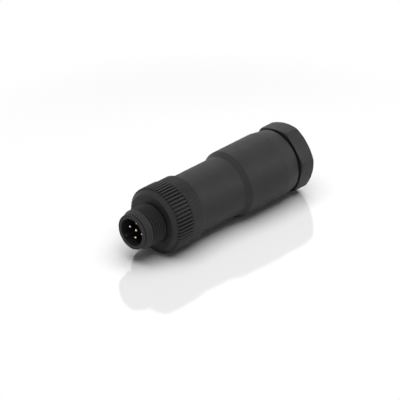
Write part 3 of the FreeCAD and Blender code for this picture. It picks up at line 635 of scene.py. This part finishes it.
SPIGOT_FRONT = span("gland_nut")[0]
NUT_REAR = span("gland_nut")[1]
NUT_FRONT = 50.75
NUT_ROUNDING = 0.05
NUT_BEVEL = 0.5
NUT_FACE_RADIUS = 9.6
NUT_BLANK_RADIUS = 10.6
NUT_BORE = 4.6
NUT_MOUTH = 0.7
GLAND_SPIGOT_RADIUS = 8.02
NUT_THREAD_FRONT = SPIGOT_FRONT - 0.2
NUT_THREAD_REAR = NUT_FRONT - 0.4
SIDE_COUNT = 6
SIDE_ANGLE = FULL_TURN / SIDE_COUNT
SIDE_WEDGES = 6
SIDE_STEPS = 10
SIDE_ROW = 0.08
SIDE_HEIGHT = 9.52
SIDE_CURVE = 19.5
CORNER_TURN = math.radians(18.1)
CORNER_SOFTNESS = 0.04

nut = outline([
    (SPIGOT_FRONT, NUT_BORE), (SPIGOT_FRONT, GLAND_SPIGOT_RADIUS),
    (NUT_FRONT, GLAND_SPIGOT_RADIUS), (NUT_FRONT, NUT_FACE_RADIUS),
    (NUT_FRONT + NUT_BEVEL, NUT_BLANK_RADIUS), (NUT_REAR - NUT_BEVEL, NUT_BLANK_RADIUS),
    (NUT_REAR, NUT_FACE_RADIUS), (NUT_REAR, NUT_BORE + NUT_MOUTH),
    (NUT_REAR - NUT_MOUTH, NUT_BORE),
], NUT_ROUNDING)
add_rows(nut, SPIGOT_FRONT, NUT_FRONT, GLAND_THREAD_PITCH / ROWS_PER_PITCH, CHAMBER_RADIUS,
         NUT_FACE_RADIUS)
add_rows(nut, NUT_FRONT, NUT_REAR, SIDE_ROW, CHAMBER_RADIUS, math.inf)
spin_outline(nut, SIDE_COUNT * SIDE_WEDGES, SIDE_STEPS)
cut_thread(nut, NUT_THREAD_FRONT, NUT_THREAD_REAR, GLAND_SPIGOT_RADIUS, GLAND_THREAD_DEPTH,
           GLAND_THREAD_PITCH)


def side_radius(turn):
    """The radius of one slightly round side of the nut, at an angle from its middle."""
    centre = SIDE_CURVE - SIDE_HEIGHT
    return math.sqrt(SIDE_CURVE ** 2 - (centre * math.sin(turn)) ** 2) - centre * math.cos(turn)


def side_cut(turn):
    """The radius that the sides leave at an angle, with the corner between them a little soft."""
    off = off_mark(turn, SIDE_COUNT, CORNER_TURN + SIDE_ANGLE / 2)
    here = side_radius(off)
    beside = side_radius(SIDE_ANGLE - abs(off))
    return here - CORNER_SOFTNESS * math.log(1 + math.exp((here - beside) / CORNER_SOFTNESS))


for vert in nut.verts:
    set_radius(vert, min(side_cut(turn_of(vert)), radius_of(vert)))
finish_piece(nut, "gland_nut_moulding", "gland", black_plastic, "black_plastic", "gland_nut")


# Stage. A white glossy table that the connector lies on, a broad soft lamp overhead, and a pale
# card in front and behind that show only as gloss. The camera looks down on the nose from the
# front left, without perspective. The stage is in metres, and the picture is in millimetres.
MIDDLE = Vector(((NOSE_FRONT + NUT_REAR) / 2 * MM, 0, 0))
FLOOR_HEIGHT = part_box("housing_sleeve")[0].z
FLOOR_REACH = 3
FLOOR_COLOUR = (0.95, 0.95, 0.95, 1)
FLOOR_ROUGHNESS = 0.08
WHITE_START = 0.055
WHITE_END = 0.1
SKY_COLOUR = (1, 1, 1, 1)
SKY_ON_SURFACES = 0.15
SKY_SEEN = 1

floor_mesh = bmesh.new()
bmesh.ops.create_grid(floor_mesh, x_segments=1, y_segments=1, size=FLOOR_REACH)
bmesh.ops.translate(floor_mesh, verts=floor_mesh.verts, vec=(0, 0, FLOOR_HEIGHT))
floor_data = bpy.data.meshes.new("floor")
floor_mesh.to_mesh(floor_data)
floor_mesh.free()
floor = bpy.data.objects.new("floor", floor_data)
bpy.context.scene.collection.objects.link(floor)
floor_finish = bpy.data.materials.new("white table")
floor_finish.use_nodes = True
floor_shader = floor_finish.node_tree.nodes["Principled BSDF"]
floor_shader.inputs["Base Color"].default_value = FLOOR_COLOUR
floor_shader.inputs["Roughness"].default_value = FLOOR_ROUGHNESS
floor_data.materials.append(floor_finish)


def seen_directly(tree):
    """One for what the camera sees, itself or by way of gloss and glass, and none for the rest."""
    rays = tree.nodes.new("ShaderNodeLightPath")
    seen = tree.nodes.new("ShaderNodeMath")
    seen.operation = "MAXIMUM"
    tree.links.new(rays.outputs["Is Camera Ray"], seen.inputs[0])
    tree.links.new(rays.outputs["Is Glossy Ray"], seen.inputs[1])
    seen_through = tree.nodes.new("ShaderNodeMath")
    seen_through.operation = "MAXIMUM"
    tree.links.new(seen.outputs["Value"], seen_through.inputs[0])
    tree.links.new(rays.outputs["Is Transmission Ray"], seen_through.inputs[1])
    return seen_through.outputs["Value"]


def whiten_far_off(tree, shader):
    """Let the table show as plain white away from the connector, beyond its shadow."""
    place = tree.nodes.new("ShaderNodeTexCoord")
    distance = tree.nodes.new("ShaderNodeVectorMath")
    distance.operation = "DISTANCE"
    distance.inputs[1].default_value = MIDDLE + Vector((0, 0, FLOOR_HEIGHT))
    tree.links.new(place.outputs["Object"], distance.inputs[0])
    far = tree.nodes.new("ShaderNodeMapRange")
    far.inputs["From Min"].default_value = WHITE_START
    far.inputs["From Max"].default_value = WHITE_END
    tree.links.new(distance.outputs["Value"], far.inputs["Value"])
    share = tree.nodes.new("ShaderNodeMath")
    share.operation = "MULTIPLY"
    tree.links.new(far.outputs["Result"], share.inputs[0])
    tree.links.new(seen_directly(tree), share.inputs[1])
    white = tree.nodes.new("ShaderNodeEmission")
    blend = tree.nodes.new("ShaderNodeMixShader")
    tree.links.new(share.outputs["Value"], blend.inputs["Fac"])
    tree.links.new(shader.outputs["BSDF"], blend.inputs[1])
    tree.links.new(white.outputs["Emission"], blend.inputs[2])
    tree.links.new(blend.outputs["Shader"], tree.nodes["Material Output"].inputs["Surface"])


whiten_far_off(floor_finish.node_tree, floor_shader)

world = bpy.data.worlds.new("studio")
bpy.context.scene.world = world
world.use_nodes = True
sky = world.node_tree
strength = sky.nodes.new("ShaderNodeMapRange")
strength.inputs["To Min"].default_value = SKY_ON_SURFACES
strength.inputs["To Max"].default_value = SKY_SEEN
sky.links.new(seen_directly(sky), strength.inputs["Value"])
sky.nodes["Background"].inputs["Color"].default_value = SKY_COLOUR
sky.links.new(strength.outputs["Result"], sky.nodes["Background"].inputs["Strength"])


def soft_lamp(name, direction, distance, size, power):
    """A square lamp that faces the connector's middle from a direction."""
    lamp = bpy.data.lights.new(name, "AREA")
    lamp.shape = "SQUARE"
    lamp.size = size
    lamp.energy = power
    toward = Vector(direction).normalized()
    stand = bpy.data.objects.new(name, lamp)
    stand.location = MIDDLE + toward * distance
    stand.rotation_euler = toward.to_track_quat("Z", "Y").to_euler()
    bpy.context.scene.collection.objects.link(stand)
    return stand


# The overhead lamp gives the light and the shadow, and the two cards give the gloss.
LAMP_DISTANCE = 0.5
LAMP_SIZE = 0.56
CARD_DISTANCE = 0.6
CARD_SIZE = 0.26
overhead = soft_lamp("overhead lamp", (0, -0.1, 1), LAMP_DISTANCE, LAMP_SIZE, power=2.95)
overhead.visible_glossy = False
front_card = soft_lamp("front card", (0.66, -0.6, 0.45), CARD_DISTANCE, CARD_SIZE, power=0.66)
front_card.visible_diffuse = False
back_card = soft_lamp("back card", (0.53, 0.59, 0.62), CARD_DISTANCE, CARD_SIZE, power=0.26)
back_card.visible_diffuse = False

CAMERA_TURN = math.radians(45)
CAMERA_RISE = math.radians(30)
CAMERA_DISTANCE = 0.5
PICTURE_WIDTH = 114.3
PICTURE_RIGHT_OF_NOSE = 19.55
PICTURE_OVER_NOSE = 9.29
BACK = Vector((-math.cos(CAMERA_TURN) * math.cos(CAMERA_RISE),
               -math.sin(CAMERA_TURN) * math.cos(CAMERA_RISE), math.sin(CAMERA_RISE)))
RIGHT = Vector((math.sin(CAMERA_TURN), -math.cos(CAMERA_TURN), 0))
UP = BACK.cross(RIGHT)
PICTURE_MIDDLE = (Vector((NOSE_FRONT, 0, 0)) + RIGHT * PICTURE_RIGHT_OF_NOSE
                  + UP * PICTURE_OVER_NOSE)
camera_data = bpy.data.cameras.new("camera")
camera_data.type = "ORTHO"
camera_data.ortho_scale = PICTURE_WIDTH * MM
camera = bpy.data.objects.new("camera", camera_data)
camera.location = PICTURE_MIDDLE * MM + BACK * CAMERA_DISTANCE
camera.rotation_euler = BACK.to_track_quat("Z", "Y").to_euler()
bpy.context.scene.collection.objects.link(camera)
bpy.context.scene.camera = camera
bpy.context.scene.view_settings.view_transform = "Standard"
